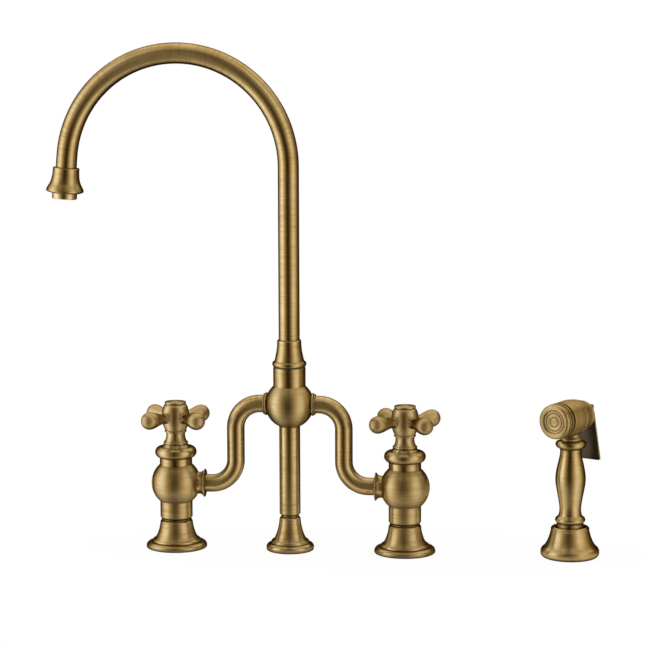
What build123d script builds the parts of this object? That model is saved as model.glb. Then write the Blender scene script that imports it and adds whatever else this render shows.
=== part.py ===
from build123d import *
import os
from math import atan, cos, degrees, pi, radians, sin, sqrt, tan

# Bridge kitchen faucet with a side spray, in millimetres. The origin is the centre of the centre
# foot on the deck, +X runs along the bridge to the cold valve and the spray, and +Z is up.

# ------------------------------------------------------------------ driving dimensions
VALVE_PITCH = 203.2  # hot valve axis to cold valve axis, 8 in
SPRAY_X = 246.0  # spray holder axis
DECK_Z = 0.0

SPOUT_R = 9.2  # spout tube outside radius
SPOUT_WALL = 1.5
SPOUT_BEND_R = 97.8  # arch radius on the tube's centre line
SPOUT_SPRING_Z = 338.7  # height at which the arch starts
SPOUT_SWEEP = 175.5  # degrees of the arch
SPOUT_TAIL = 18.8  # straight end past the arch
BELL_H = 21.8
BELL_SOCKET = 8.85  # length of the tube inside the bell
AERATOR_OUT = 5.4  # length of the aerator below the bell

BALL_R = 21.5  # centre ball
BALL_Z = 130.3
NECK_R = 14.2  # centre body neck
NECK_RISE = 33.1  # ball centre to the neck's top
COLLAR_H = 22.9
POST_R = 9.2
POST_WALL = 2.5

ARM_R = 7.75  # bridge tube outside radius
ARM_WALL = 1.5
ARM_STRAIGHT = 4.4  # straight run between a bridge tube's bends and its sockets, at midway
ARM_OFFSET = 1.1  # the vertical run stands this much nearer to the centre than midway
OUTLET_Z = 58.25  # valve outlet axis

FOOT_TOP = 24.45  # valve foot height
FOOT_RIM_R = 26.9
VALVE_GROOVE = 2.45  # open groove between valve foot and valve body
VALVE_R = 14.25  # valve body cylinder
VALVE_BALL_R = 21.8
VALVE_RISE = 22.8  # outlet axis to the top of the valve body

CENTRE_FOOT_TOP = 29.45
CENTRE_FOOT_RIM_R = 20.85
CENTRE_GROOVE = 2.65  # open groove between foot and post

HANDLE_RISE = 23.45  # hub's underside to the axis of the cross arms
HANDLE_REACH = 29.1  # valve axis to the bulb centre
HANDLE_BULB_R = 7.65
HOT_ARM_TURN = 49.0  # first arm's direction at rest, degrees from +X
COLD_ARM_TURN = 41.0

HOLDER_RIM_R = 25.6
HOLDER_TOP = 27.2
HEAD_Z = 123.1  # spray head barrel axis
HEAD_TURN = -30.0  # the head's face points this far round from -Y
HEAD_R = 15.0
HEAD_NOSE = 28.8  # handset axis to the front of the nose
HEAD_BACK = 23.0  # handset axis to the back of the cap

# ------------------------------------------------------------------ fits and threads
FIT = 0.05  # radial clearance of screwed and seated joints
RUN = 0.08  # radial running clearance of turning and sliding pairs
FACE_GAP = 0.3  # between faces that turn past each other
INLET_THREAD_R = 9.3  # G1/2 female, minor radius
HOSE_THREAD_R = 7.45  # G3/8 female, minor radius
HOLDER_THREAD_R = 12.05  # G3/4 female, minor radius
HOSE_INLET_R = 5.7  # G1/4 female, minor radius

VALVE_X = VALVE_PITCH / 2
HOT_X = -VALVE_X
COLD_X = VALVE_X
VALVE_FLOOR = FOOT_TOP + VALVE_GROOVE
VALVE_TOP = OUTLET_Z + VALVE_RISE
OUTLET_TIP = VALVE_BALL_R + 4.8  # valve axis to the lip of the outlet
SOCKET_U = VALVE_BALL_R - 5.1  # valve axis to the arm's end inside the outlet

os.makedirs("parts", exist_ok=True)
NODES = {}


# ------------------------------------------------------------------ helpers
def turned(start, *steps):
    """Solid of revolution about Z. Steps are (radius, height) points; ("arc", middle, end) bends
    through its middle, and ("curve", points) is a smooth curve through its points."""
    at = lambda point: Vector(point[0], 0, point[1])
    edges = []
    here = start
    for step in steps + (start,):
        if step[0] == "arc":
            edges.append(ThreePointArc(at(here), at(step[1]), at(step[2])))
            here = step[2]
        elif step[0] == "curve":
            edges.append(Spline(*[at(point) for point in (here,) + step[1]]))
            here = step[1][-1]
        elif step != here:
            edges.append(Line(at(here), at(step)))
            here = step
    return revolve(make_face(Wire(edges)), Axis.Z)


def ring(outer, inner, bottom, top):
    """Plain ring about Z."""
    return turned((inner, bottom), (outer, bottom), (outer, top), (inner, top))


def rod(radius, bottom, top):
    """Plain cylinder about Z."""
    return Pos(0, 0, (bottom + top) / 2) * Cylinder(radius, top - bottom)


def bead_ring(ring_r, bead_r, z):
    """Round ring, such as an O-ring, about Z."""
    return Pos(0, 0, z) * Torus(ring_r, bead_r)


def along_x(side):
    """Turns +Z to +X or -X."""
    return Rotation(0, 90 * side, 0)


def along_y(side):
    """Turns +Z to +Y or -Y."""
    return Rotation(-90 * side, 0, 0)


def tube(path, outer, wall):
    """Round tube along a path of lines and tangent arcs."""
    section = Plane(origin=path @ 0, z_dir=path % 0) * (Circle(outer) - Circle(outer - wall))
    return sweep(section, path=path)


def add(name, *solids):
    """Keeps the solids as one named node."""
    NODES[name] = solids[0] if len(solids) == 1 else Compound(children=list(solids))


def both_valves(solid):
    """The same solid at the hot and the cold valve."""
    return [Pos(x, 0, 0) * solid for x in (HOT_X, COLD_X)]


def ball_height(ball_r, at_r):
    """Height of a ball's surface above its centre, at a radius."""
    return sqrt(ball_r**2 - at_r**2)


# ------------------------------------------------------------------ feet
GASKET_DEPTH = 1.2
GASKET_IN = 2.45  # from the thread out to the gasket's groove
GASKET_OUT = 4.4  # from the rim in to the gasket's groove


FLARE = ((0.32, 0.15), (0.63, 0.38), (0.87, 0.66))  # foot's flare, as shares of width and height


def foot(rim_r, bead_r, flare_r, top_r, rim_h, bead_h, top, thread_r, thread_h, seat_r):
    """Turned foot: quarter-round rim, small bead and a concave flare up to the neck."""
    gasket_in = thread_r + GASKET_IN
    gasket_out = rim_r - GASKET_OUT
    flare_h = top - bead_h
    flare_w = flare_r - top_r
    flare = [(flare_r - w * flare_w, bead_h + h * flare_h) for w, h in FLARE]
    flare.append((top_r, top - 0.8))
    rim_in = bead_r + 0.7
    rim_low = 1.6
    return turned(
        (thread_r, DECK_Z),
        (gasket_in, DECK_Z),
        (gasket_in, GASKET_DEPTH),
        (gasket_out, GASKET_DEPTH),
        (gasket_out, DECK_Z),
        (rim_r - 1.2, DECK_Z),
        ("arc", (rim_r - 0.25, 0.5), (rim_r, rim_low)),
        ("arc", (rim_in + 0.74 * (rim_r - rim_in), 0.26 * rim_low + 0.78 * rim_h), (rim_in, rim_h)),
        (bead_r, rim_h - 0.1),
        ("arc", (bead_r + 0.1, (rim_h + bead_h) / 2), (bead_r - 0.9, bead_h)),
        (flare_r + 0.2, bead_h - 0.15),
        (flare_r, bead_h),
        ("curve", tuple(flare)),
        (top_r - 0.7, top),
        (seat_r, top),
        (seat_r, thread_h),
        (thread_r, thread_h),
    )


def foot_gasket(rim_r, thread_r):
    """Flat rubber ring in the groove under a foot."""
    return ring(rim_r - GASKET_OUT - FIT, thread_r + GASKET_IN + FIT, DECK_Z, GASKET_DEPTH)


# ------------------------------------------------------------------ spout (turns on the centre body)
GLIDE_H = 0.6
NECK_TOP = BALL_Z + NECK_RISE
COLLAR_BASE = NECK_TOP + GLIDE_H + FACE_GAP
COLLAR_TOP = COLLAR_BASE + COLLAR_H
SHANK_R = SPOUT_R + 0.6
SHANK_TOP = COLLAR_TOP - 14.6
SHANK_FLOOR = BALL_Z + 11.95
SHANK_BORE = SHANK_R - 2.95
NECK_BORE = SHANK_R + RUN
LOCK_Z = NECK_TOP - 8.9  # height of the groove that the locking screw enters
LOCK_HALF = 2.15
LOCK_R = SHANK_R - 1.35
ORING_ZS = (SHANK_FLOOR + 4.9, NECK_TOP - 3.3)
ORING_R = 0.9
# the bell's outside, as radius past the tube and share of the bell's height
BELL_FLARE = ((2.6, 0.275), (2.9, 0.395), (3.5, 0.515), (4.45, 0.64), (5.85, 0.757), (7.0, 0.867))
# the collar's waist, as radius past the tube and share of the collar's height
COLLAR_WAIST = ((3.0, 0.36), (2.25, 0.52), (1.7, 0.68), (1.45, 0.86))


def build_spout():
    bend = Vector(-SPOUT_BEND_R, 0, SPOUT_SPRING_Z)
    sweep_end = radians(SPOUT_SWEEP)
    on_bend = lambda angle: bend + Vector(cos(angle), 0, sin(angle)) * SPOUT_BEND_R
    out_dir = Vector(-sin(sweep_end), 0, cos(sweep_end))
    tail = on_bend(sweep_end) + out_dir * SPOUT_TAIL
    riser = Line((0, 0, SHANK_TOP), (0, 0, SPOUT_SPRING_Z))
    arch = ThreePointArc(on_bend(0), on_bend(sweep_end / 2), on_bend(sweep_end))
    end = Line(on_bend(sweep_end), tail)
    add("spout_tube", tube(Wire([riser, arch, end]), SPOUT_R, SPOUT_WALL))

    # the bell and the aerator are drawn about Z from the bell's top, then placed on the tube's end
    at_bell = Plane(origin=tail - out_dir * BELL_SOCKET, z_dir=out_dir, x_dir=(0, 1, 0)).location
    thread_r = SPOUT_R + 1.5
    tube_seat = SPOUT_R + FIT
    bell = turned(
        (tube_seat, 0),
        (SPOUT_R + 1.9, 0),
        ("arc", (SPOUT_R + 2.25, 0.18), (SPOUT_R + 2.4, 0.6)),
        (SPOUT_R + 2.45, 0.15 * BELL_H),
        ("curve", tuple((SPOUT_R + out, share * BELL_H) for out, share in BELL_FLARE)),
        ("arc", (SPOUT_R + 7.3, BELL_H - 1.7), (SPOUT_R + 6.7, BELL_H - 0.7)),
        (SPOUT_R + 4.9, BELL_H),
        (thread_r + FIT, BELL_H),
        (thread_r + FIT, BELL_SOCKET),
        (tube_seat, BELL_SOCKET),
    )
    add("spout_bell", at_bell * bell)

    seal_h = 1.4
    housing_r = SPOUT_R + 1.8
    housing_top = BELL_SOCKET + seal_h
    housing_end = BELL_H + AERATOR_OUT
    screen_seat = housing_r - 1.6
    housing_bore = screen_seat - 0.65
    screen_h = 1.2
    screen_top = housing_end - 2 * screen_h
    housing = turned(
        (housing_bore, housing_top),
        (thread_r, housing_top),
        (thread_r, BELL_H),
        (housing_r, BELL_H),
        (housing_r, housing_end - 0.5),
        (housing_r - 0.4, housing_end),
        (screen_seat, housing_end),
        (screen_seat, screen_top),
        (housing_bore, screen_top),
    )
    add("aerator_housing", at_bell * housing)
    add("aerator_seal", at_bell * ring(thread_r - 0.2, SPOUT_R - SPOUT_WALL, BELL_SOCKET, housing_top))
    screen = rod(screen_seat - FIT, screen_top, screen_top + screen_h)
    hole_step = screen_seat / 4
    for number in range(4):
        for hole in PolarLocations(number * hole_step, max(1, 6 * number)):
            screen -= hole * rod(0.7, screen_top - 1, screen_top + screen_h + 1)
    add("aerator_screen", at_bell * screen)

    bead_h = 0.17 * COLLAR_H
    collar = turned(
        (SHANK_R + FIT, COLLAR_BASE),
        (NECK_R + 0.1, COLLAR_BASE),
        ("arc", (NECK_R + 0.8, COLLAR_BASE + bead_h / 2), (NECK_R, COLLAR_BASE + bead_h)),
        (SPOUT_R + 3.9, COLLAR_BASE + bead_h + 0.4),
        ("curve", tuple((SPOUT_R + out, COLLAR_BASE + share * COLLAR_H) for out, share in COLLAR_WAIST)),
        (SPOUT_R + 1.35, COLLAR_TOP - 0.5),
        (SPOUT_R + 0.9, COLLAR_TOP),
        (SPOUT_R + FIT, COLLAR_TOP),
        (SPOUT_R + FIT, SHANK_TOP),
        (SHANK_R + FIT, SHANK_TOP),
    )
    add("spout_collar", collar)

    shank_grooves = []
    for z in ORING_ZS:
        groove_r = SHANK_R - 2 * ORING_R - FIT
        shank_grooves.append(ring(SHANK_R + 1, groove_r, z - ORING_R - 0.1, z + ORING_R + 0.1))
    lock_groove = ring(SHANK_R + 1, LOCK_R, LOCK_Z - LOCK_HALF, LOCK_Z + LOCK_HALF)
    shank = ring(SHANK_R, SHANK_BORE, SHANK_FLOOR, SHANK_TOP) - lock_groove - shank_grooves
    add("spout_shank", shank)
    add("shank_orings", *[bead_ring(SHANK_R - ORING_R, ORING_R, z) for z in ORING_ZS])
    add("glide_ring", ring(NECK_R - 0.7, NECK_BORE + 0.3, NECK_TOP, NECK_TOP + GLIDE_H))


# ------------------------------------------------------------------ centre body and post
POST_TOP = BALL_Z - 11.6
CHAMBER_R = 7.35
CHAMBER_TOP = SHANK_FLOOR - 1.95
WATERWAY_R = ARM_R - ARM_WALL - 0.75
PORT_FACE = BALL_R - 2.65  # distance of the flat port face from the centre
PORT_SOCKET = BALL_R - 8.75  # distance of the arm's inner end
PORT_TIP = PORT_FACE + 4.1  # distance of the port ring's outer face
ARM_SEAT = ARM_R + FIT


def build_centre():
    ball_low = BALL_Z - ball_height(BALL_R, POST_R + FIT)
    ball_high = BALL_Z + ball_height(BALL_R, NECK_R)
    body = turned(
        (POST_R + FIT, ball_low),
        ("arc", (BALL_R, BALL_Z), (NECK_R, ball_high)),
        (NECK_R, NECK_TOP - 0.6),
        (NECK_R - 0.6, NECK_TOP),
        (NECK_BORE, NECK_TOP),
        (NECK_BORE, CHAMBER_TOP),
        (CHAMBER_R, CHAMBER_TOP),
        (CHAMBER_R, POST_TOP),
        (POST_R + FIT, POST_TOP),
    )
    bead_r = ARM_R + 1.35
    rings = []
    for side in (-1, 1):
        to_port = Pos(0, 0, BALL_Z) * along_x(side)
        face_r = ball_height(BALL_R, PORT_FACE) + 0.2
        body -= to_port * rod(face_r, PORT_FACE, BALL_R + 1)
        body -= to_port * rod(ARM_SEAT, PORT_SOCKET, BALL_R)
        body -= to_port * rod(WATERWAY_R, CHAMBER_R - 2, PORT_SOCKET)
        port_ring = turned(
            (ARM_SEAT, PORT_FACE),
            (bead_r, PORT_FACE),
            (bead_r, PORT_FACE + 0.85),
            ("arc", (bead_r + 1, PORT_FACE + 1.75), (bead_r, PORT_FACE + 2.65)),
            (bead_r - 0.35, PORT_FACE + 2.85),
            ("arc", (bead_r + 0.15, PORT_TIP - 0.65), (bead_r - 0.55, PORT_TIP)),
            (ARM_SEAT, PORT_TIP),
        )
        rings.append(to_port * port_ring)
    add("centre_port_rings", *rings)

    # the locking screw stands in the back of the neck, where the photograph can't show it
    screw_r = 2.45
    screw_in = LOCK_R + 0.3
    body -= Pos(0, 0, LOCK_Z) * along_y(1) * rod(screw_r + FIT, NECK_BORE - 1, NECK_R + 1)
    screw = Pos(0, 0, LOCK_Z) * along_y(1) * (
        rod(screw_r, NECK_BORE + 0.2, NECK_R - 0.4) + rod(1.4, screw_in, NECK_BORE + 0.3)
        - extrude(Plane.XY.offset(NECK_R - 2.55) * RegularPolygon(1.2, 6), 4)
    )
    add("spout_grub_screw", screw)
    add("centre_body", body)

    post_floor = CENTRE_FOOT_TOP + CENTRE_GROOVE
    post_bore = POST_R - POST_WALL
    post = turned(
        (post_bore, post_floor),
        (POST_R - 0.6, post_floor),
        (POST_R, post_floor + 0.6),
        (POST_R, POST_TOP),
        (post_bore, POST_TOP),
    )
    add("centre_post", post)

    nipple_floor = CENTRE_FOOT_TOP - 9.85
    nipple_top = post_floor + 13
    nipple_r = post_bore - FIT
    flange_r = POST_R - 1.3
    nipple = turned(
        (nipple_r - 2.3, nipple_floor),
        (nipple_r, nipple_floor),
        (nipple_r, CENTRE_FOOT_TOP),
        (flange_r - 0.5, CENTRE_FOOT_TOP),
        ("arc", (flange_r, CENTRE_FOOT_TOP + CENTRE_GROOVE / 2), (flange_r - 0.5, post_floor)),
        (nipple_r, post_floor),
        (nipple_r, nipple_top),
        (nipple_r - 2.3, nipple_top),
    )
    add("centre_foot_nipple", nipple)
    centre_foot = foot(
        CENTRE_FOOT_RIM_R, CENTRE_FOOT_RIM_R - 4.15, CENTRE_FOOT_RIM_R - 5.95, POST_R + FIT, 6.3, 9.2,
        CENTRE_FOOT_TOP, HOSE_THREAD_R, nipple_floor, post_bore,
    )
    add("centre_foot", centre_foot)
    add("centre_foot_gasket", foot_gasket(CENTRE_FOOT_RIM_R, HOSE_THREAD_R))


# ------------------------------------------------------------------ diverter, inside the ball
def build_diverter():
    cage_r = CHAMBER_R - FIT
    cage_bore = cage_r - 1.8
    plate_h = 1.2
    cage_top = BALL_Z + 6.55
    stem_r = 1.6
    cage = ring(cage_r, cage_bore, POST_TOP, cage_top)
    cage -= Pos(0, 0, BALL_Z) * along_x(1) * rod(4.5, -cage_r - 1, cage_r + 1)
    cage += ring(cage_bore, 2.55, POST_TOP, POST_TOP + plate_h)
    cage += ring(cage_bore, stem_r + 0.4, cage_top - plate_h, cage_top)
    for hole in PolarLocations(4.0, 8):
        cage -= hole * rod(1.1, cage_top - plate_h - 1, cage_top + 1)
    add("diverter_cage", cage)
    disc_r = cage_bore - RUN
    piston_floor = POST_TOP + plate_h + FACE_GAP
    disc_top = piston_floor + 2.15
    piston = turned(
        (0, piston_floor), (disc_r, piston_floor), (disc_r, disc_top), (stem_r, disc_top),
        (stem_r, cage_top + 2), (0, cage_top + 2),
    )
    add("diverter_piston", piston)
    add("diverter_spring", spring(2.75, 0.35, disc_top + FIT, cage_top - plate_h - FIT, 5))


def spring(coil_r, wire_r, bottom, top, turns):
    """Compression spring about Z, its end turns closed by flat rings."""
    first = bottom + wire_r
    last = top - wire_r
    coil = Helix(pitch=(last - first) / turns, height=last - first, radius=coil_r, center=(0, 0, first))
    section = Plane(origin=coil @ 0, z_dir=coil % 0) * Circle(wire_r)
    return sweep(section, path=coil, is_frenet=True)


# ------------------------------------------------------------------ bridge arms
def build_arms():
    gap = VALVE_X - OUTLET_TIP - PORT_TIP
    bend_r = gap / 2 - ARM_STRAIGHT
    drop_x = PORT_TIP + gap / 2 - ARM_OFFSET
    half = bend_r * (1 - cos(radians(45)))
    for name, side in (("bridge_arm_left", -1), ("bridge_arm_right", 1)):
        top_in = (side * PORT_SOCKET, 0, BALL_Z)
        top_out = (side * (drop_x - bend_r), 0, BALL_Z)
        drop_top = (side * drop_x, 0, BALL_Z - bend_r)
        drop_low = (side * drop_x, 0, OUTLET_Z + bend_r)
        low_in = (side * (drop_x + bend_r), 0, OUTLET_Z)
        low_out = (side * (VALVE_X - SOCKET_U), 0, OUTLET_Z)
        upper_mid = (side * (drop_x - half), 0, BALL_Z - half)
        lower_mid = (side * (drop_x + half), 0, OUTLET_Z + half)
        path = Wire([
            Line(top_in, top_out),
            ThreePointArc(top_out, upper_mid, drop_top),
            Line(drop_top, drop_low),
            ThreePointArc(drop_low, lower_mid, low_in),
            Line(low_in, low_out),
        ])
        add(name, tube(path, ARM_R, ARM_WALL))


# ------------------------------------------------------------------ valves
NIPPLE_FLOOR = FOOT_TOP - 8.75
NIPPLE_TOP = VALVE_FLOOR + 8.4
NIPPLE_R = VALVE_R - 3.95
NIPPLE_BORE = NIPPLE_R - 2.85
POCKET_R = VALVE_R - 3.55  # cartridge pocket
POCKET_FLOOR = OUTLET_Z - 9.2
SEAL_TOP = POCKET_FLOOR + 1.95
FIXED_DISC_TOP = SEAL_TOP + 2.95
DISC_R = POCKET_R - 1.75  # bore of the cartridge round the discs
DISC_PORT_X = DISC_R / 2
DISC_PORT_R = DISC_R / 4
TURNING_DISC_TOP = FIXED_DISC_TOP + FACE_GAP + 2.75
RING_TOP = VALVE_TOP + 10.2
RING_SEAT = RING_TOP - 2
CONE_TOP = RING_TOP + 1.75
HUB_FLOOR = CONE_TOP + FACE_GAP
HANDLE_Z = HUB_FLOOR + HANDLE_RISE
HUB_TOP = HANDLE_Z + 11.95
SPINDLE_R = 4.4
SPINDLE_TOP = HANDLE_Z - 6.9
SCREW_R = 1.6
SCREW_SEAT = HANDLE_Z - 3.35
ARM_FACE = 10.8  # valve axis to the flat that an arm's collar seats on


def build_valve_fixed():
    """Pieces that are alike at both valves and don't move."""
    valve_foot = foot(
        FOOT_RIM_R, FOOT_RIM_R - 5.6, FOOT_RIM_R - 7.3, VALVE_R, 5.2, 8.0, FOOT_TOP, INLET_THREAD_R,
        NIPPLE_FLOOR, NIPPLE_R + FIT,
    )
    gasket = foot_gasket(FOOT_RIM_R, INLET_THREAD_R)
    bead_r = VALVE_R - 0.9
    nipple = turned(
        (NIPPLE_BORE, NIPPLE_FLOOR),
        (NIPPLE_R, NIPPLE_FLOOR),
        (NIPPLE_R, FOOT_TOP),
        (bead_r - 1.1, FOOT_TOP),
        (bead_r - 1.1, FOOT_TOP + 0.6),
        ("arc", (bead_r, (FOOT_TOP + VALVE_FLOOR) / 2), (bead_r - 1.1, VALVE_FLOOR - 0.6)),
        (bead_r - 1.1, VALVE_FLOOR),
        (NIPPLE_R, VALVE_FLOOR),
        (NIPPLE_R, NIPPLE_TOP),
        (NIPPLE_BORE, NIPPLE_TOP),
    )
    bonnet_ring = turned(
        (POCKET_R, VALVE_TOP),
        (VALVE_R + 0.7, VALVE_TOP),
        ("arc", (VALVE_R + 4.1, VALVE_TOP + 4.5), (VALVE_R - 0.4, RING_TOP - 0.4)),
        (VALVE_R - 1.5, RING_TOP - 0.6),
        (VALVE_R - 1.6, RING_SEAT),
        (POCKET_R, RING_SEAT),
    )
    cone_bore = POCKET_R - 2.8
    bonnet_cone = turned(
        (cone_bore, RING_SEAT),
        (VALVE_R - 1.65, RING_SEAT),
        (VALVE_R - 1.8, RING_SEAT + 1.3),
        ("arc", (VALVE_R - 2.75, RING_SEAT + 2.45), (VALVE_R - 3.55, CONE_TOP)),
        (cone_bore, CONE_TOP),
    )
    add("valve_feet", *both_valves(valve_foot))
    add("valve_foot_gaskets", *both_valves(gasket))
    add("valve_foot_nipples", *both_valves(nipple))
    add("bonnet_rings", *both_valves(bonnet_ring))
    add("bonnet_cones", *both_valves(bonnet_cone))

    cartridge_top = CONE_TOP - 0.6
    guide_floor = TURNING_DISC_TOP + 6.25
    cartridge = turned(
        (DISC_R, SEAL_TOP),
        (POCKET_R - FIT, SEAL_TOP),
        (POCKET_R - FIT, RING_SEAT),
        (cone_bore - FIT, RING_SEAT),
        (cone_bore - FIT, cartridge_top),
        (SPINDLE_R + RUN, cartridge_top),
        (SPINDLE_R + RUN, guide_floor),
        (DISC_R, guide_floor),
    )
    cartridge -= Pos(0, 0, OUTLET_Z + 0.6) * along_x(1) * rod(3.15, -POCKET_R - 1, POCKET_R + 1)
    fixed_disc = rod(DISC_R - FIT, SEAL_TOP, FIXED_DISC_TOP)
    for x in (-DISC_PORT_X, DISC_PORT_X):
        fixed_disc -= Pos(x, 0, 0) * rod(DISC_PORT_R, SEAL_TOP - 1, FIXED_DISC_TOP + 1)
    seal = ring(POCKET_R - 0.2, NIPPLE_BORE - 0.6, POCKET_FLOOR, SEAL_TOP)
    add("cartridge_bodies", *both_valves(cartridge))
    add("fixed_discs", *both_valves(fixed_disc))
    add("cartridge_seals", *both_valves(seal))


def build_valve_body(name, x, side):
    """Valve body: cylinder, ball, neck, and an outlet towards the centre."""
    ball_low = OUTLET_Z - ball_height(VALVE_BALL_R, VALVE_R)
    ball_high = OUTLET_Z + ball_height(VALVE_BALL_R, VALVE_R)
    body = turned(
        (NIPPLE_R + FIT, VALVE_FLOOR),
        (VALVE_R - 0.8, VALVE_FLOOR),
        (VALVE_R, VALVE_FLOOR + 0.9),
        (VALVE_R, ball_low),
        ("arc", (VALVE_BALL_R, OUTLET_Z), (VALVE_R, ball_high)),
        (VALVE_R, VALVE_TOP),
        (POCKET_R, VALVE_TOP),
        (POCKET_R, POCKET_FLOOR),
        (NIPPLE_BORE - 0.6, POCKET_FLOOR),
        (NIPPLE_BORE - 0.6, NIPPLE_TOP),
        (NIPPLE_R + FIT, NIPPLE_TOP),
    )
    to_outlet = Pos(x, 0, OUTLET_Z) * along_x(side)
    outlet = turned(
        (0, POCKET_R + 2),
        (ARM_R + 1.95, POCKET_R + 2),
        (ARM_R + 1.95, OUTLET_TIP - 6),
        ("curve", ((ARM_R + 2.3, OUTLET_TIP - 3.65), (ARM_R + 4.6, OUTLET_TIP - 1.3))),
        ("arc", (ARM_R + 4.55, OUTLET_TIP - 0.7), (ARM_R + 3.9, OUTLET_TIP - 0.35)),
        (ARM_R + 1.65, OUTLET_TIP),
        (0, OUTLET_TIP),
    )
    body = Pos(x, 0, 0) * body + to_outlet * outlet
    body -= to_outlet * rod(ARM_SEAT, SOCKET_U, OUTLET_TIP + 1)
    body -= to_outlet * rod(ARM_R - ARM_WALL, 0, SOCKET_U)
    add(name, body)


def build_handle(prefix, x, arm_turn):
    """Turning pieces of one valve: disc, spindle, hub, four arms, screw and cap."""
    disc_floor = FIXED_DISC_TOP + FACE_GAP
    disc = rod(DISC_R - 0.2, disc_floor, TURNING_DISC_TOP)
    for dx in (-DISC_PORT_X, DISC_PORT_X):
        disc -= Pos(dx, 0, 0) * rod(DISC_PORT_R, disc_floor - 1, TURNING_DISC_TOP + 1)
    add(prefix + "_turning_disc", Pos(x, 0, 0) * disc)

    screw_bore = SCREW_R + FIT
    screw_floor = SPINDLE_TOP - 10.75
    flange_top = TURNING_DISC_TOP + 3.45
    spindle = turned(
        (0, TURNING_DISC_TOP),
        (DISC_R - 0.5, TURNING_DISC_TOP),
        (DISC_R - 0.5, flange_top),
        (SPINDLE_R, flange_top + 0.95),
        (SPINDLE_R, SPINDLE_TOP),
        (screw_bore, SPINDLE_TOP),
        (screw_bore, screw_floor),
        (0, screw_floor),
    )
    add(prefix + "_spindle", Pos(x, 0, 0) * spindle)

    # the hub's lower neck is measured from its underside and its ball from the arms' axis
    hub_bore = SPINDLE_R + FIT
    pocket_r = 5.1
    neck_top = HANDLE_Z - 13.35
    ball = ((10.7, -8.05), (11.75, -4.05), (12.0, 0.2), (11.9, 4.1), (11.35, 7.6), (10.35, 10.4))
    hub = turned(
        (hub_bore, HUB_FLOOR),
        (10.2, HUB_FLOOR),
        ("arc", (10.85, HUB_FLOOR + 0.8), (10.6, HUB_FLOOR + 1.65)),
        (9.8, HUB_FLOOR + 2.15),
        ("curve", ((8.85, HUB_FLOOR + 4.4), (8.3, (HUB_FLOOR + neck_top) / 2 + 2.4), (8.6, neck_top))),
        (9.4, neck_top + 0.3),
        ("arc", (9.75, neck_top + 1), (9.4, neck_top + 1.65)),
        (9.15, neck_top + 1.95),
        ("curve", tuple((r, HANDLE_Z + up) for r, up in ball)),
        (9.15, HUB_TOP - 0.2),
        (8.25, HUB_TOP),
        (pocket_r, HUB_TOP),
        (pocket_r, SCREW_SEAT),
        (screw_bore + 0.5, SCREW_SEAT),
        (screw_bore + 0.5, SPINDLE_TOP),
        (hub_bore, SPINDLE_TOP),
    )
    collar_r = 4.8
    taper = ((4.65, 12.6), (5.9, 8.0), (7.15, 3.8))  # radius and distance from the bulb's centre
    pin_r = 2.95
    pin_in = pocket_r + 1.95
    arm = turned(
        (0, pin_in),
        (pin_r, pin_in),
        (pin_r, ARM_FACE),
        (collar_r - 0.3, ARM_FACE),
        (collar_r, ARM_FACE + 0.5),
        ("arc", (collar_r - 0.1, ARM_FACE + 1.4), (4.2, ARM_FACE + 2.15)),
        ("curve", tuple((r, HANDLE_REACH - back) for r, back in taper) + ((HANDLE_BULB_R, HANDLE_REACH),)),
        (
            "arc",
            (HANDLE_BULB_R * sin(pi / 4), HANDLE_REACH + HANDLE_BULB_R * cos(pi / 4)),
            (0, HANDLE_REACH + HANDLE_BULB_R),
        ),
    )
    arms = []
    for quarter in range(4):
        to_arm = Pos(0, 0, HANDLE_Z) * Rotation(0, 0, arm_turn + 90 * quarter) * along_x(1)
        hub -= to_arm * rod(collar_r + FIT, ARM_FACE, 16)
        hub -= to_arm * rod(pin_r + FIT, pocket_r - 1, 16)
        arms.append(Pos(x, 0, 0) * to_arm * arm)
    add(prefix + "_handle_hub", Pos(x, 0, 0) * hub)
    add(prefix + "_handle_arms", *arms)

    screw = rod(4.1, SCREW_SEAT, SCREW_SEAT + 3.15) + rod(SCREW_R, screw_floor + 0.95, SCREW_SEAT)
    screw -= extrude(Plane.XY.offset(SCREW_SEAT + 1.2) * RegularPolygon(1.8, 6), 4)
    add(prefix + "_handle_screw", Pos(x, 0, 0) * screw)
    plug_floor = HUB_TOP - 7.05
    cap_top = HUB_TOP + 2.7
    cap = turned(
        (0, plug_floor),
        (pocket_r - FIT, plug_floor),
        (pocket_r - FIT, HUB_TOP),
        (8.75, HUB_TOP),
        ("arc", (9.55, HUB_TOP + 1), (9.05, HUB_TOP + 2)),
        ("arc", (4.9, cap_top - 0.15), (0.8, cap_top)),
        (0, cap_top),
    )
    cap -= rod(pocket_r - 1.55, plug_floor - 1, HUB_TOP - 2.15)
    add(prefix + "_handle_cap", Pos(x, 0, 0) * cap)


# ------------------------------------------------------------------ side spray
BUSH_FLOOR = 7.85
BUSH_TOP = HOLDER_TOP - 3.15
HOLDER_BORE = 13.15
NIPPLE_OUT_R = HOLDER_BORE - 1.5  # handset's lower end, in the holder
HANDSET_FLOOR = 11.75
HANDSET_FOOT = HOLDER_TOP + 2.3  # underside of the handset's lowest bead
HANDLE_TOP = HEAD_Z - 20.1
PIN_BACK = HEAD_BACK + 2.6  # handset axis back to the lever's pin
PIN_Z = HEAD_Z + 6.2
PIN_R = 1.2
NOSE_FLATS = 18  # flats round the nose, to unscrew it by
LUG_IN = 3.65  # middle plane to the inner side of a pin lug
LUG_T = 2.15
LUG_R = 2.35
STEM_R = 1.8
SEAT_BACK = 5.4  # back of the wall that the trigger valve closes against
SEAT_FRONT = 7.35


def at_spray(solid):
    return Pos(SPRAY_X, 0, 0) * solid


def facing(solid):
    """Places a piece drawn with the spray's face towards -Y."""
    return Pos(SPRAY_X, 0, 0) * Rotation(0, 0, HEAD_TURN) * solid


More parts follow.
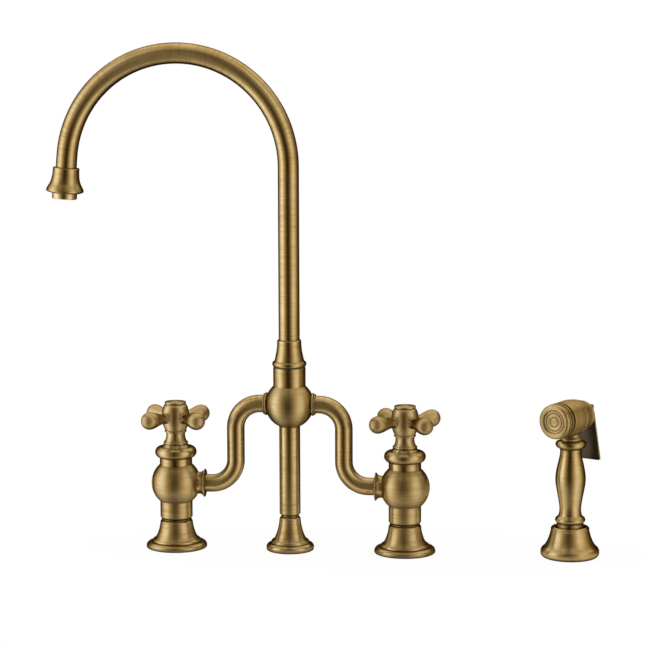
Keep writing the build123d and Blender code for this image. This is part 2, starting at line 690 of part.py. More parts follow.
def on_barrel(solid):
    """Places a piece drawn about Z, with +Z towards the face, on the barrel's axis."""
    return facing(Pos(0, 0, HEAD_Z) * along_y(-1) * solid)


def build_holder():
    gasket_in = HOLDER_THREAD_R + 3.15
    gasket_out = HOLDER_RIM_R - 5
    # the bell's flare, as radius past the bore and share of the height
    flare = ((8.0, 0.43), (5.75, 0.6), (4.35, 0.765), (3.5, 0.89))
    holder = turned(
        (HOLDER_THREAD_R, DECK_Z),
        (gasket_in, DECK_Z),
        (gasket_in, GASKET_DEPTH),
        (gasket_out, GASKET_DEPTH),
        (gasket_out, DECK_Z),
        (HOLDER_RIM_R - 3.45, DECK_Z),
        ("arc", (HOLDER_RIM_R - 0.7, 1.7), (HOLDER_RIM_R, 4.4)),
        ("arc", (HOLDER_RIM_R - 0.2, 6.3), (HOLDER_RIM_R - 1.2, 8.2)),
        ("curve", tuple((HOLDER_BORE + out, share * HOLDER_TOP) for out, share in flare)),
        ("arc", (HOLDER_BORE + 2.8, HOLDER_TOP - 0.5), (HOLDER_BORE + 1.45, HOLDER_TOP)),
        (HOLDER_BORE, HOLDER_TOP - 0.5),
        (HOLDER_BORE, BUSH_FLOOR),
        (HOLDER_THREAD_R, BUSH_FLOOR),
    )
    add("spray_holder", at_spray(holder))
    add("holder_gasket", at_spray(ring(gasket_out - FIT, gasket_in + FIT, DECK_Z, GASKET_DEPTH)))
    bush_out = HOLDER_BORE - RUN
    bush_in = NIPPLE_OUT_R + RUN
    bush = turned(
        (bush_in, BUSH_FLOOR),
        (bush_out, BUSH_FLOOR),
        (bush_out, BUSH_TOP),
        (bush_in + 0.6, BUSH_TOP),
        (bush_in, BUSH_TOP - 0.8),
    )
    add("holder_bush", at_spray(bush))


def build_handset():
    water_r = 3.9
    socket_r = 6.85
    socket_floor = HANDLE_TOP - 9.3
    inlet_socket_top = HANDSET_FLOOR + 7.85
    # the beads, as radius past the nipple and height past the handset's foot
    beads = ((1.2, 2.3), (1.55, 3.75), (1.0, 5.2), (-0.45, 6.5), (-1.55, 8.15))
    # the grip, as radius and share of the way from the beads to the top collar
    grip_low = HANDSET_FOOT + beads[-1][1]
    grip_h = HANDLE_TOP - 7.55 - grip_low
    grip = (
        (9.55, 0.04), (9.4, 0.085), (10.0, 0.186), (11.4, 0.322), (12.75, 0.45), (13.2, 0.535),
        (12.85, 0.628), (11.6, 0.748), (10.0, 0.867), (9.3, 0.961), (9.4, 1.0),
    )
    top_bead = ((12.4, 5.4), (13.3, 3.8), (13.3, 2.15), (12.3, 0.8))
    handle = turned(
        (socket_r, HANDSET_FLOOR),
        (NIPPLE_OUT_R - 0.5, HANDSET_FLOOR),
        (NIPPLE_OUT_R, HANDSET_FLOOR + 0.6),
        (NIPPLE_OUT_R, HANDSET_FOOT),
        (NIPPLE_OUT_R - 0.55, HANDSET_FOOT + 0.3),
        (NIPPLE_OUT_R - 0.55, HANDSET_FOOT + 0.9),
        (NIPPLE_OUT_R + 0.2, HANDSET_FOOT + 1.2),
        ("curve", tuple((NIPPLE_OUT_R + out, HANDSET_FOOT + up) for out, up in beads)),
        ("curve", tuple((r, grip_low + share * grip_h) for r, share in grip)),
        (10.9, HANDLE_TOP - 6.35),
        ("curve", tuple((r, HANDLE_TOP - down) for r, down in top_bead)),
        (10.6, HANDLE_TOP),
        (socket_r, HANDLE_TOP),
        (socket_r, socket_floor),
        (water_r, socket_floor),
        (water_r, inlet_socket_top),
        (socket_r, inlet_socket_top),
    )
    add("spray_handle", facing(handle))

    hex_floor = HANDSET_FLOOR - 9.8
    flats = extrude(Plane.XY.offset(hex_floor) * RegularPolygon(8.85, 6), HANDSET_FLOOR - hex_floor)
    connector = flats + rod(socket_r - FIT, HANDSET_FLOOR, inlet_socket_top)
    connector -= rod(HOSE_INLET_R, hex_floor - 1, HANDSET_FLOOR - 0.95)
    connector -= rod(water_r - 0.75, HANDSET_FLOOR - 2, inlet_socket_top + 1)
    add("hose_connector", at_spray(connector))

    # head: a barrel across the top of a turned neck
    nose_seat = 17.9
    cavity_r = HEAD_R - 2.85
    cap_seat = -14.2
    neck_r = 7.65
    neck = turned(
        (0, socket_floor + 0.3),
        (socket_r - FIT, socket_floor + 0.3),
        (socket_r - FIT, HANDLE_TOP),
        (8.55, HANDLE_TOP),
        ("arc", (8.75, HANDLE_TOP + 1.2), (7.95, HANDLE_TOP + 2.55)),
        ("curve", ((6.95, HANDLE_TOP + 4.3), (6.75, HANDLE_TOP + 6.3), (neck_r, HANDLE_TOP + 8.45))),
        (neck_r, HEAD_Z - HEAD_R / 2),
        (0, HEAD_Z - HEAD_R / 2),
    )
    barrel = turned(
        (0, cap_seat),
        (HEAD_R - 1.9, cap_seat),
        (HEAD_R - 1.7, -11.6),
        (HEAD_R - 1.1, -11.3),
        ("curve", ((HEAD_R - 0.1, -7.0), (HEAD_R + 0.55, -2.2))),
        (HEAD_R + 0.35, -1.9),
        (HEAD_R + 0.55, 0.6),
        (HEAD_R + 0.85, 0.9),
        ("curve", ((HEAD_R + 1.0, 4.5), (HEAD_R + 0.9, 8.6))),
        (HEAD_R + 0.6, 8.9),
        (HEAD_R + 0.5, 11.4),
        (HEAD_R + 0.7, 11.7),
        ("curve", ((HEAD_R + 0.6, 14.6), (HEAD_R + 0.3, nose_seat - 0.6))),
        (HEAD_R - 0.3, nose_seat),
        (0, nose_seat),
    )
    cavity = rod(cavity_r, SEAT_FRONT, nose_seat + 1) + rod(cavity_r - 2, cap_seat - 1, SEAT_BACK)
    cavity += rod(STEM_R + 0.6, SEAT_BACK - 1, SEAT_FRONT + 1)
    for hole in PolarLocations(4.5, 6):
        cavity += hole * rod(1.1, SEAT_BACK - 1, SEAT_FRONT + 1)
    at_head = Pos(0, 0, HEAD_Z) * along_y(-1)
    head = neck + at_head * barrel
    head -= at_head * cavity
    head -= rod(water_r, socket_floor - 1, HEAD_Z)
    add("spray_head", facing(head))

    oring_r = 1.0
    nose_gap = 2.1
    nose_back = nose_seat + nose_gap
    spigot_r = cavity_r - FIT
    lip_r = HEAD_R - 0.4
    disc_r = HEAD_R - 5.1
    disc_back = HEAD_NOSE - 2.75
    nose = turned(
        (disc_r - 1.05, SEAT_FRONT + 0.5),
        (spigot_r, SEAT_FRONT + 0.5),
        (spigot_r, nose_back),
        (lip_r, nose_back),
        ("arc", (lip_r + 0.55, nose_back + 0.6), (lip_r + 0.4, nose_back + 1.3)),
        (lip_r, nose_back + 1.7),
        (lip_r + 0.3, nose_back + 2.15),
        (lip_r + 0.5, HEAD_NOSE - 2.95),
        ("arc", (lip_r - 0.1, HEAD_NOSE - 0.8), (lip_r - 1.65, HEAD_NOSE)),
        (disc_r + 0.9, HEAD_NOSE),
        (disc_r + FIT, HEAD_NOSE - 0.6),
        (disc_r + FIT, disc_back),
        (disc_r - 1.05, disc_back),
    )
    nose += extrude(Plane.XY.offset(nose_back) * RegularPolygon(lip_r + 1.1, NOSE_FLATS), 2.0)
    nose -= rod(disc_r - 1.05, SEAT_FRONT, HEAD_NOSE + 1)
    nose -= rod(disc_r + FIT, disc_back, HEAD_NOSE + 1)
    add("spray_nose", on_barrel(nose))
    add("nose_oring", on_barrel(bead_ring(spigot_r + oring_r, oring_r - 0.1, nose_seat + nose_gap / 2)))

    disc_front = HEAD_NOSE - 0.9
    face = rod(disc_r, disc_back, disc_front - 0.4)
    face += turned(
        (0, disc_front - 0.5), (disc_r, disc_front - 0.5), (disc_r - 0.5, disc_front), (0, disc_front)
    )
    for count, at_r in ((32, disc_r - 2.2), (16, disc_r - 5.8)):
        for hole in PolarLocations(at_r, count):
            face -= hole * rod(0.48, disc_back - 1, disc_front + 1)
    add("spray_face", on_barrel(face))

    cap_r = cavity_r - 2 - FIT
    cap = turned(
        (0, -9.3),
        (cap_r, -9.3),
        (cap_r, cap_seat),
        (HEAD_R - 3.0, cap_seat),
        ("arc", (HEAD_R - 2.1, cap_seat - 1.3), (HEAD_R - 2.7, cap_seat - 2.55)),
        (HEAD_R - 3.4, cap_seat - 2.95),
        ("arc", (HEAD_R - 2.6, cap_seat - 4.1), (HEAD_R - 3.8, cap_seat - 5.6)),
        ("arc", (HEAD_R - 8.1, 1.3 - HEAD_BACK), (0.8, -HEAD_BACK)),
        (0, -HEAD_BACK),
    )
    cap -= rod(STEM_R + RUN, -HEAD_BACK - 1, -9)
    cap = at_head * cap
    lug_len = PIN_BACK - HEAD_BACK + 5.4
    for side in (-1, 1):
        lug_x = side * (LUG_IN + LUG_T / 2)
        cap += Pos(lug_x, PIN_BACK - lug_len / 2, PIN_Z) * Box(LUG_T, lug_len, 2 * LUG_R)
        cap += Pos(lug_x, PIN_BACK, PIN_Z) * along_x(1) * rod(LUG_R, -LUG_T / 2, LUG_T / 2)
    cap -= Pos(0, PIN_BACK, PIN_Z) * along_x(1) * rod(PIN_R + FIT, -HEAD_R, HEAD_R)
    cap -= at_head * rod(cap_r + 1, -9.2, 0)
    add("spray_back_cap", facing(cap))


# ------------------------------------------------------------------ trigger of the spray
LEVER_T = 1.95
LEVER_LOW_BACK = PIN_BACK + 3.0  # handset axis to the paddle's lower edge
LEVER_LOW_Z = PIN_Z - 46.9
TONGUE_W = 6.65
LEVER_TOP_W = 14.6  # just below the pin lugs
LEVER_TOP_DROP = 5.4
LEVER_LOW_W = 24.8
PAD_T = 0.6  # pressed pad on the lever's inner side
PAD_TOP_DROP = 19.5
PAD_MARGIN = 1.4
LEVER_LEAN = atan((LEVER_LOW_BACK - PIN_BACK) / (PIN_Z - LEVER_LOW_Z))


def mirrored_plate(half, thickness):
    """Upright plate about the YZ plane, from the outline of its +X half."""
    outline = half + [(-x, z) for x, z in reversed(half)]
    sheet = make_face(Polyline(*[(x, 0, z) for x, z in outline], close=True))
    return extrude(sheet, thickness / 2, dir=(0, 1, 0), both=True)


def build_trigger():
    # the lever is drawn hanging straight down from its pin, then leaned away from the handle
    length = (PIN_Z - LEVER_LOW_Z) / cos(LEVER_LEAN)
    low_half = LEVER_LOW_W / 2
    widening = (low_half - LEVER_TOP_W / 2) / (length - LEVER_TOP_DROP)
    lever = mirrored_plate(
        [
            (TONGUE_W / 2, 0),
            (TONGUE_W / 2, -3.35),
            (LEVER_TOP_W / 2, -LEVER_TOP_DROP),
            (low_half, -length),
        ],
        LEVER_T,
    )
    lever = fillet(lever.edges().filter_by(Axis.Y).group_by(Axis.Z)[0], 1.6)
    pad_half = low_half - PAD_MARGIN
    pad = mirrored_plate(
        [
            (pad_half - widening * (length - PAD_TOP_DROP), -PAD_TOP_DROP),
            (pad_half - widening * PAD_MARGIN, PAD_MARGIN - length),
        ],
        PAD_T * 2,
    )
    lever += Pos(0, -LEVER_T / 2, 0) * pad
    lever += along_x(1) * rod(LUG_R, -TONGUE_W / 2, TONGUE_W / 2)
    lever -= along_x(1) * rod(PIN_R + RUN, -TONGUE_W, TONGUE_W)
    to_pin = Pos(0, PIN_BACK, PIN_Z)
    add("spray_lever", facing(to_pin * Rotation(degrees(LEVER_LEAN), 0, 0) * lever))
    pin_half = LUG_IN + LUG_T + 0.4
    add("lever_pin", facing(to_pin * along_x(1) * rod(PIN_R, -pin_half, pin_half)))

    # the stem is drawn about Z with +Z towards the spray's face
    lever_face = PIN_BACK + (PIN_Z - HEAD_Z) * tan(LEVER_LEAN) - LEVER_T / 2 / cos(LEVER_LEAN)
    tip = -lever_face + FACE_GAP
    head_r = 6.2
    seal_back = SEAT_FRONT + FACE_GAP
    seal_front = seal_back + 1.2
    stem = turned(
        (0, tip),
        (STEM_R * 0.4, tip),
        ("arc", (STEM_R * 0.83, tip + 0.35), (STEM_R, tip + 1.0)),
        (STEM_R, -3.9),
        (3.55, -3.9),
        (3.55, -2.75),
        (STEM_R, -2.75),
        (STEM_R, seal_front),
        (head_r, seal_front),
        (head_r, seal_front + 1.6),
        (0, seal_front + 1.6),
    )
    add("spray_plunger", on_barrel(stem))
    add("valve_seal", on_barrel(ring(head_r, STEM_R + FIT, seal_back, seal_front)))
    add("plunger_spring", on_barrel(spring(2.85, 0.4, -2.7, SEAT_BACK - 0.05, 4)))


build_spout()
build_centre()
build_diverter()
build_arms()
build_valve_fixed()
build_valve_body("hot_valve_body", HOT_X, 1)
build_valve_body("cold_valve_body", COLD_X, -1)
build_handle("hot", HOT_X, HOT_ARM_TURN)
build_handle("cold", COLD_X, COLD_ARM_TURN)
build_holder()
build_handset()
build_trigger()

for name, solid in NODES.items():
    export_step(solid, f"parts/{name}.step")
print(len(NODES), "nodes")
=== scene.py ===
"""Looks of the bridge faucet: brushed antique brass on the CAD pieces, and a studio to see them in."""

import math

import bpy
from mathutils import Matrix, Vector


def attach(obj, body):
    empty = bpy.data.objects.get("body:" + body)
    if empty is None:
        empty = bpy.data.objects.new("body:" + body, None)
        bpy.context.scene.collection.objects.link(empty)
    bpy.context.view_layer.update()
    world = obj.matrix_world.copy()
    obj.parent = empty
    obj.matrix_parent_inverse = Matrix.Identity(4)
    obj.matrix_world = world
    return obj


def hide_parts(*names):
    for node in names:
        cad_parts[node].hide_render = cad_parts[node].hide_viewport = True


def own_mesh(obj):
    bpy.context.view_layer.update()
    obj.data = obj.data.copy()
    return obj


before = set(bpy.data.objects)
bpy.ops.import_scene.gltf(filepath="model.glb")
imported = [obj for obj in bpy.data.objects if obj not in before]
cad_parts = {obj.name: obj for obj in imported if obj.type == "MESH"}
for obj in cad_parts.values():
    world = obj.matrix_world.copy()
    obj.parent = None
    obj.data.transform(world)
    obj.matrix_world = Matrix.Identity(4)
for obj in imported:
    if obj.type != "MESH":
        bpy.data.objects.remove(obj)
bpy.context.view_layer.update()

# ------------------------------------------------------------------ places in the part, in metres
UP = (0.0, 0.0, 1.0)
VALVE_X = 0.1016
VALVE_BALL_R = 0.0218
OUTLET_Z = 0.05825
OUTLET_FROM = 0.0195  # a valve body's outlet is what lies this far from the valve's axis
OUTLET_R = 0.0128  # and within this of the outlet's own
HANDLE_Z = 0.11675  # middle of the cross arms
BALL_Z = 0.1303  # middle of the centre ball and of the arms' upper ends
BALL_R = 0.0215
ARM_BEND = 0.0216  # radius of the arms' bends
ARM_DROP = 0.0479  # centre of the faucet to the upright run of an arm
ARCH_R = 0.0978
ARCH_Z = 0.3387  # where the arch starts, above the riser
ARCH_SWEEP = math.radians(175.5)
SPRAY_X = 0.246
HEAD_Z = 0.1231  # axis of the spray's barrel
BARREL_AXIS = (-0.5, -math.sqrt(0.75), 0.0)
BARREL_JOINTS = ((0.0180, 0.0009), (-0.0142, 0.0004))  # place along the barrel and half the width of each joint's painted shade
HOLE_RINGS = ((32, 0.0077), (16, 0.0041))  # holes of the spray's face: count and radius of the ring


# ------------------------------------------------------------------ node helpers
class Tree:
    """Adds shader nodes with few words. A value is a number, a tuple or another node's output."""

    def __init__(self, owner):
        owner.use_nodes = True
        self.tree = owner.node_tree
        self.tree.nodes.clear()

    def node(self, kind):
        return self.tree.nodes.new("ShaderNode" + kind)

    def feed(self, socket, value):
        if isinstance(value, bpy.types.NodeSocket):
            self.tree.links.new(value, socket)
        else:
            socket.default_value = value

    def add(self, kind, out=0, **values):
        """A node with its properties as p_NAME and its inputs as their name or as i and their number."""
        node = self.node(kind)
        for key, value in values.items():
            if key.startswith("p_"):
                setattr(node, key[2:], value)
        for key, value in values.items():
            if not key.startswith("p_"):
                numbered = key[0] == "i" and key[1:].isdigit()
                self.feed(node.inputs[int(key[1:]) if numbered else key], value)
        return node.outputs[out]

    def math(self, operation, a, b=0.0):
        return self.add("Math", p_operation=operation, i0=a, i1=b)

    def vec(self, operation, a, b=(0.0, 0.0, 0.0), out=0):
        return self.add("VectorMath", out, p_operation=operation, i0=a, i1=b)

    def scaled(self, vector, by):
        return self.add("VectorMath", p_operation="SCALE", i0=vector, i3=by)

    def xyz(self, x, y, z):
        return self.add("CombineXYZ", i0=x, i1=y, i2=z)

    def split(self, vector):
        node = self.node("SeparateXYZ")
        self.feed(node.inputs[0], vector)
        return node.outputs[0], node.outputs[1], node.outputs[2]

    def flat_length(self, a, b):
        return self.math("SQRT", self.math("ADD", self.math("MULTIPLY", a, a), self.math("MULTIPLY", b, b)))

    def remap(self, value, low, high, to_low, to_high, smooth=False):
        kind = "SMOOTHSTEP" if smooth else "LINEAR"
        ends = {"i1": low, "i2": high, "i3": to_low, "i4": to_high}
        return self.add("MapRange", p_interpolation_type=kind, i0=value, **ends)

    def mix(self, factor, a, b):
        """Mixes two colours."""
        node = self.node("Mix")
        node.data_type = "RGBA"
        self.feed(node.inputs[0], factor)
        for socket, value in ((node.inputs[6], a), (node.inputs[7], b)):
            self.feed(socket, value + (1.0,) if isinstance(value, tuple) else value)
        return node.outputs[2]

    def mix_vectors(self, factor, a, b):
        node = self.node("Mix")
        node.data_type = "VECTOR"
        for socket, value in ((node.inputs[0], factor), (node.inputs[4], a), (node.inputs[5], b)):
            self.feed(socket, value)
        return node.outputs[1]

    def noise(self, vector, scale, detail=2.0, w=None, rough=0.5):
        node = self.node("TexNoise")
        node.noise_dimensions = "3D" if w is None else "4D"
        self.feed(node.inputs["Vector"], vector)
        if w is not None:
            self.feed(node.inputs["W"], w)
        self.feed(node.inputs["Scale"], scale)
        self.feed(node.inputs["Detail"], detail)
        self.feed(node.inputs["Roughness"], rough)
        return node.outputs[0]

    def ramp(self, factor, stops):
        node = self.node("ValToRGB")
        self.feed(node.inputs[0], factor)
        elements = node.color_ramp.elements
        while len(elements) < len(stops):
            elements.new(1.0)
        for element, (place, colour) in zip(elements, stops):
            element.position = place
            element.color = colour + (1.0,)
        return node.outputs[0]

    def place(self):
        """The point's own coordinates on its piece, which the part's places are given in."""
        return self.add("TexCoord", out=3)

    def normal(self):
        return self.add("TexCoord", out=1)

    def surface(self, shader):
        self.feed(self.node("OutputMaterial").inputs[0], shader)


# ------------------------------------------------------------------ which way each piece is brushed
# Brush marks run round a turned piece. Each function here gives the direction that its gloss is
# stretched in, which is along its axis, and how far along the piece a point lies.
LEAN = 0.1  # share of the outward direction, which leads on faces square to the axis


def straight(t, place, axis, centre):
    """A piece turned about a straight axis."""
    from_centre = t.vec("SUBTRACT", place, centre)
    along = t.vec("DOT_PRODUCT", from_centre, axis, out=1)
    return t.vec("ADD", axis, t.scaled(from_centre, LEAN)), along


def upright(x0):
    """A piece turned about an upright axis at x0."""
    return lambda t, place: straight(t, place, UP, (x0, 0.0, 0.0))


def twin(t, place):
    """As upright, for nodes with a solid at each valve."""
    x, y, z = t.split(place)
    near = t.math("SUBTRACT", x, t.math("MULTIPLY", t.math("SIGN", x), VALVE_X))
    return t.xyz(t.math("MULTIPLY", near, LEAN), t.math("MULTIPLY", y, LEAN), 1.0), z


def arch(t, place):
    """The spout tube: up the riser, over the arch and down to the bell."""
    x, _, z = t.split(place)
    across = t.math("ADD", x, ARCH_R)
    over = t.math("SUBTRACT", z, ARCH_Z)
    up = t.math("MAXIMUM", over, 0.0)
    turn = t.math("ARCTAN2", up, across)
    along = t.math("ADD", t.math("MULTIPLY", turn, ARCH_R), t.math("MINIMUM", over, 0.0))
    return t.vec("NORMALIZE", t.xyz(t.math("MULTIPLY", up, -1.0), 0.0, across)), along


def bell(t, place):
    """The bell at the end of the arch."""
    axis = (-math.sin(ARCH_SWEEP), 0.0, math.cos(ARCH_SWEEP))
    return straight(t, place, axis, (-2 * ARCH_R, 0.0, ARCH_Z))


def bridge_arm(t, place):
    """An arm of the bridge: out of the ball, down and out to the valve."""
    bend_in = ARM_DROP - ARM_BEND
    bend_out = ARM_DROP + ARM_BEND
    bend_top = BALL_Z - ARM_BEND
    bend_low = OUTLET_Z + ARM_BEND
    x, _, z = t.split(place)
    out = t.math("ABSOLUTE", x)
    past_top = t.math("MAXIMUM", t.math("SUBTRACT", out, bend_in), 0.0)
    over_top = t.math("MAXIMUM", t.math("SUBTRACT", z, bend_top), 0.0)
    to_low = t.math("MAXIMUM", t.math("SUBTRACT", bend_out, out), 0.0)
    under_low = t.math("MAXIMUM", t.math("SUBTRACT", bend_low, z), 0.0)
    upper = t.math("GREATER_THAN", z, (BALL_Z + OUTLET_Z) / 2)
    outwards = t.add("Mix", i0=upper, i2=under_low, i3=over_top)
    downwards = t.add("Mix", i0=upper, i2=to_low, i3=past_top)
    axis = t.xyz(t.math("MULTIPLY", outwards, t.math("SIGN", x)), 0.0, t.math("MULTIPLY", downwards, -1.0))

    turn_top = t.math("MULTIPLY", t.math("ARCTAN2", past_top, over_top), ARM_BEND)
    turn_low = t.math("MULTIPLY", t.math("ARCTAN2", under_low, to_low), ARM_BEND)
    before = t.math("MINIMUM", out, bend_in)
    fall = t.math("MULTIPLY", t.math("MINIMUM", z, bend_top), -1.0)
    past = t.math("MAXIMUM", out, bend_out)
    runs = t.math("ADD", before, t.math("ADD", fall, past))
    along = t.math("ADD", t.math("ADD", turn_top, turn_low), runs)
    return t.vec("NORMALIZE", axis), along


def valve(x0):
    """A valve body is turned about its own axis, and its outlet about the bridge's."""

    def brushing(t, place):
        body_axis, z = straight(t, place, UP, (x0, 0.0, 0.0))
        x, y, height = t.split(place)
        off = t.math("ABSOLUTE", t.math("SUBTRACT", x, x0))
        above = t.math("SUBTRACT", height, OUTLET_Z)
        outer = t.math("GREATER_THAN", off, OUTLET_FROM)
        near = t.math("LESS_THAN", t.flat_length(y, above), OUTLET_R)
        on_outlet = t.math("MULTIPLY", outer, near)
        inwards = math.copysign(1.0, -x0)
        outlet_axis = t.xyz(inwards, t.math("MULTIPLY", y, LEAN), t.math("MULTIPLY", above, LEAN))
        return t.mix_vectors(on_outlet, body_axis, outlet_axis), t.add("Mix", i0=on_outlet, i2=z, i3=off)

    return brushing


def star(x0):
    """A cross handle's arms are polished lengthwise, so their gloss is stretched across them."""

    def brushing(t, place):
        x, y, _ = t.split(t.vec("SUBTRACT", place, (x0, 0.0, HANDLE_Z)))
        return t.xyz(t.math("MULTIPLY", y, -1.0), x, 0.0), t.flat_length(x, y)

    return brushing


def barrel(t, place):
    """The spray's head, turned about its barrel."""
    return straight(t, place, BARREL_AXIS, (SPRAY_X, 0.0, HEAD_Z))


# ------------------------------------------------------------------ antique brass
BRASS_LIGHT = (0.470, 0.308, 0.092)
BRASS_MID = (0.340, 0.212, 0.056)
BRASS_RED = (0.300, 0.168, 0.038)
# Dark brown: patina and tarnish, and also the painted shade in hollows, seams, joints, undersides and at
# the deck.
PATINA_AND_SHADE = (0.045, 0.026, 0.010)
# Pale brass: rubbed edges with a painted highlight there, and a lighter tone all over.
WORN_AND_HIGHLIGHT = (0.600, 0.450, 0.220)
# Umber on the spray's front faces: partly their own tone and partly painted shade.
UMBER = (0.200, 0.098, 0.016)
# Painted shade on the lever's inner face.
LEVER_INNER_SHADE = (0.030, 0.025, 0.016)
# Painted shade in the spray's holes.
HOLE_SHADE = (0.004, 0.003, 0.002)
MIRROR_TINT = (0.12, 0.065, 0.025, 1.0)

# patterns of the surface, in repeats per metre: brush marks are long round a piece and fine along it
ROUND_SCALE = 45.0
LINE_SCALE = 560.0
FINE_LINE_SCALE = 2100.0
CLOUD_SCALE = 38.0
SPECK_SCALE = 900.0

# how far a point looks for walls round it, in metres
SHELTER_REACH = 0.006
SEAM_REACH = 0.0018
EDGE_REACH = 0.0012

DECK_SHADE_SPAN = (0.0006, 0.0042)  # heights between which the painted shade at the deck fades out
UNDERSIDE_SHADE_SPAN = (-0.20, -0.85)  # upward share of the normal where the painted shade of an underside begins and is full
FRONT_FACING = (0.75, 0.95)  # likewise, share of the normal along the barrel for a front face
HOLE_EDGE = (0.00050, 0.00066)  # radii between which a hole's painted shade fades out
BALL_EDGE = (0.0001, 0.0005)  # likewise outside a ball, for its rougher gloss
GRAIN_DEPTH = 0.00006
GLOSS_SWING = 0.05  # how far brush marks move the roughness, up and down


def brass_colour(t, lines, brushed, clouds, specks, streaks, grain):
    """Clouds of redder brass, light and dark brush marks, and fine dark specks."""
    colour = t.mix(t.remap(clouds, 0.35, 0.66, 0.0, 1.0, True), BRASS_RED, BRASS_MID)
    colour = t.mix(t.remap(brushed, 0.39, 0.60, 0.0, 0.95), colour, BRASS_LIGHT)
    colour = t.mix(t.remap(lines, 0.35, 0.49, streaks, 0.0), colour, PATINA_AND_SHADE)
    return t.mix(t.remap(specks, 0.66, 0.78, 0.0, 0.35 * grain, True), colour, PATINA_AND_SHADE)


def patina_and_painted_shade_in_hollows(t, seam_edge):
    """Share of patina and painted shade in hollows, in seams and next to the floor: faint in wide hollows
    and strong in seams.
    """
    shelter = t.add("AmbientOcclusion", out=1, p_samples=6, Distance=SHELTER_REACH)
    seam = t.add("AmbientOcclusion", out=1, p_samples=8, Distance=SEAM_REACH)
    faint = t.remap(shelter, 0.2, 0.6, 0.4, 0.0, True)
    strong = t.remap(seam, 0.40, seam_edge, 0.97, 0.0, True)
    return t.math("MAXIMUM", faint, strong)


def wear_and_painted_highlight_on_edges(t, clouds, wear_and_highlight):
    """Share of rubbed brass and painted highlight on outer edges, uneven as the clouds are."""
    inside = {"p_inside": True, "p_only_local": True}
    edge = t.add("AmbientOcclusion", out=1, p_samples=6, Distance=EDGE_REACH, **inside)
    worn_and_highlit = t.remap(edge, 0.50, 0.82, 0.0, wear_and_highlight, True)
    return t.math("MULTIPLY", worn_and_highlit, t.remap(clouds, 0.3, 0.6, 0.5, 1.0))


def painted_shade_below(t, colour, place):
    """Painted shade on undersides and on the rims at the deck."""
    underside_shade = t.remap(t.split(t.normal())[2], *UNDERSIDE_SHADE_SPAN, 0.0, 0.60, True)
    deck_shade = t.remap(t.split(place)[2], *DECK_SHADE_SPAN, 0.8, 0.0, True)
    return t.mix(deck_shade, t.mix(underside_shade, colour, PATINA_AND_SHADE), PATINA_AND_SHADE)


def painted_shade_in_joints(t, colour, along, joints):
    """Painted shade in the joints between the pieces of a turned row."""
    for joint_at, half_width in joints:
        off_joint = t.math("ABSOLUTE", t.math("SUBTRACT", along, joint_at))
        joint_shade = t.remap(off_joint, half_width * 0.7, half_width * 1.2, 0.95, 0.0, True)
        colour = t.mix(joint_shade, colour, PATINA_AND_SHADE)
    return colour


def painted_shade_in_holes(t, colour, facing, rings):
    """Painted shade: dark round dots over the holes, in rings on the front faces."""
    x, y, z = t.split(t.vec("SUBTRACT", t.place(), (SPRAY_X, 0.0, HEAD_Z)))
    from_x = t.math("MULTIPLY", x, -BARREL_AXIS[1])
    from_y = t.math("MULTIPLY", y, -BARREL_AXIS[0])
    across = t.math("SUBTRACT", from_x, from_y)
    turn = t.math("ARCTAN2", z, across)
    reach = t.flat_length(z, across)
    on_front = t.remap(facing, *FRONT_FACING, 0.0, 1.0)
    for count, ring_r in rings:
        off_turn = t.math("MULTIPLY", t.math("PINGPONG", turn, math.pi / count), ring_r)
        off_ring = t.math("SUBTRACT", reach, ring_r)
        off_hole = t.vec("LENGTH", t.xyz(off_turn, off_ring, 0.0), out=1)
        dark = t.math("MULTIPLY", t.remap(off_hole, *HOLE_EDGE, 0.97, 0.0), on_front)
        colour = t.mix(dark, colour, HOLE_SHADE)
    return colour


def front_faces(t, colour, share, front_colour, holes=()):
    """Gives part of another, darker colour to the faces that look the way the spray's front does: painted
    shade, which on the barrel is partly their own tone too.
    """
    facing = t.vec("DOT_PRODUCT", t.normal(), BARREL_AXIS, out=1)
    colour = t.mix(t.remap(facing, *FRONT_FACING, 0.0, share), colour, front_colour)
    return painted_shade_in_holes(t, colour, facing, holes) if holes else colour


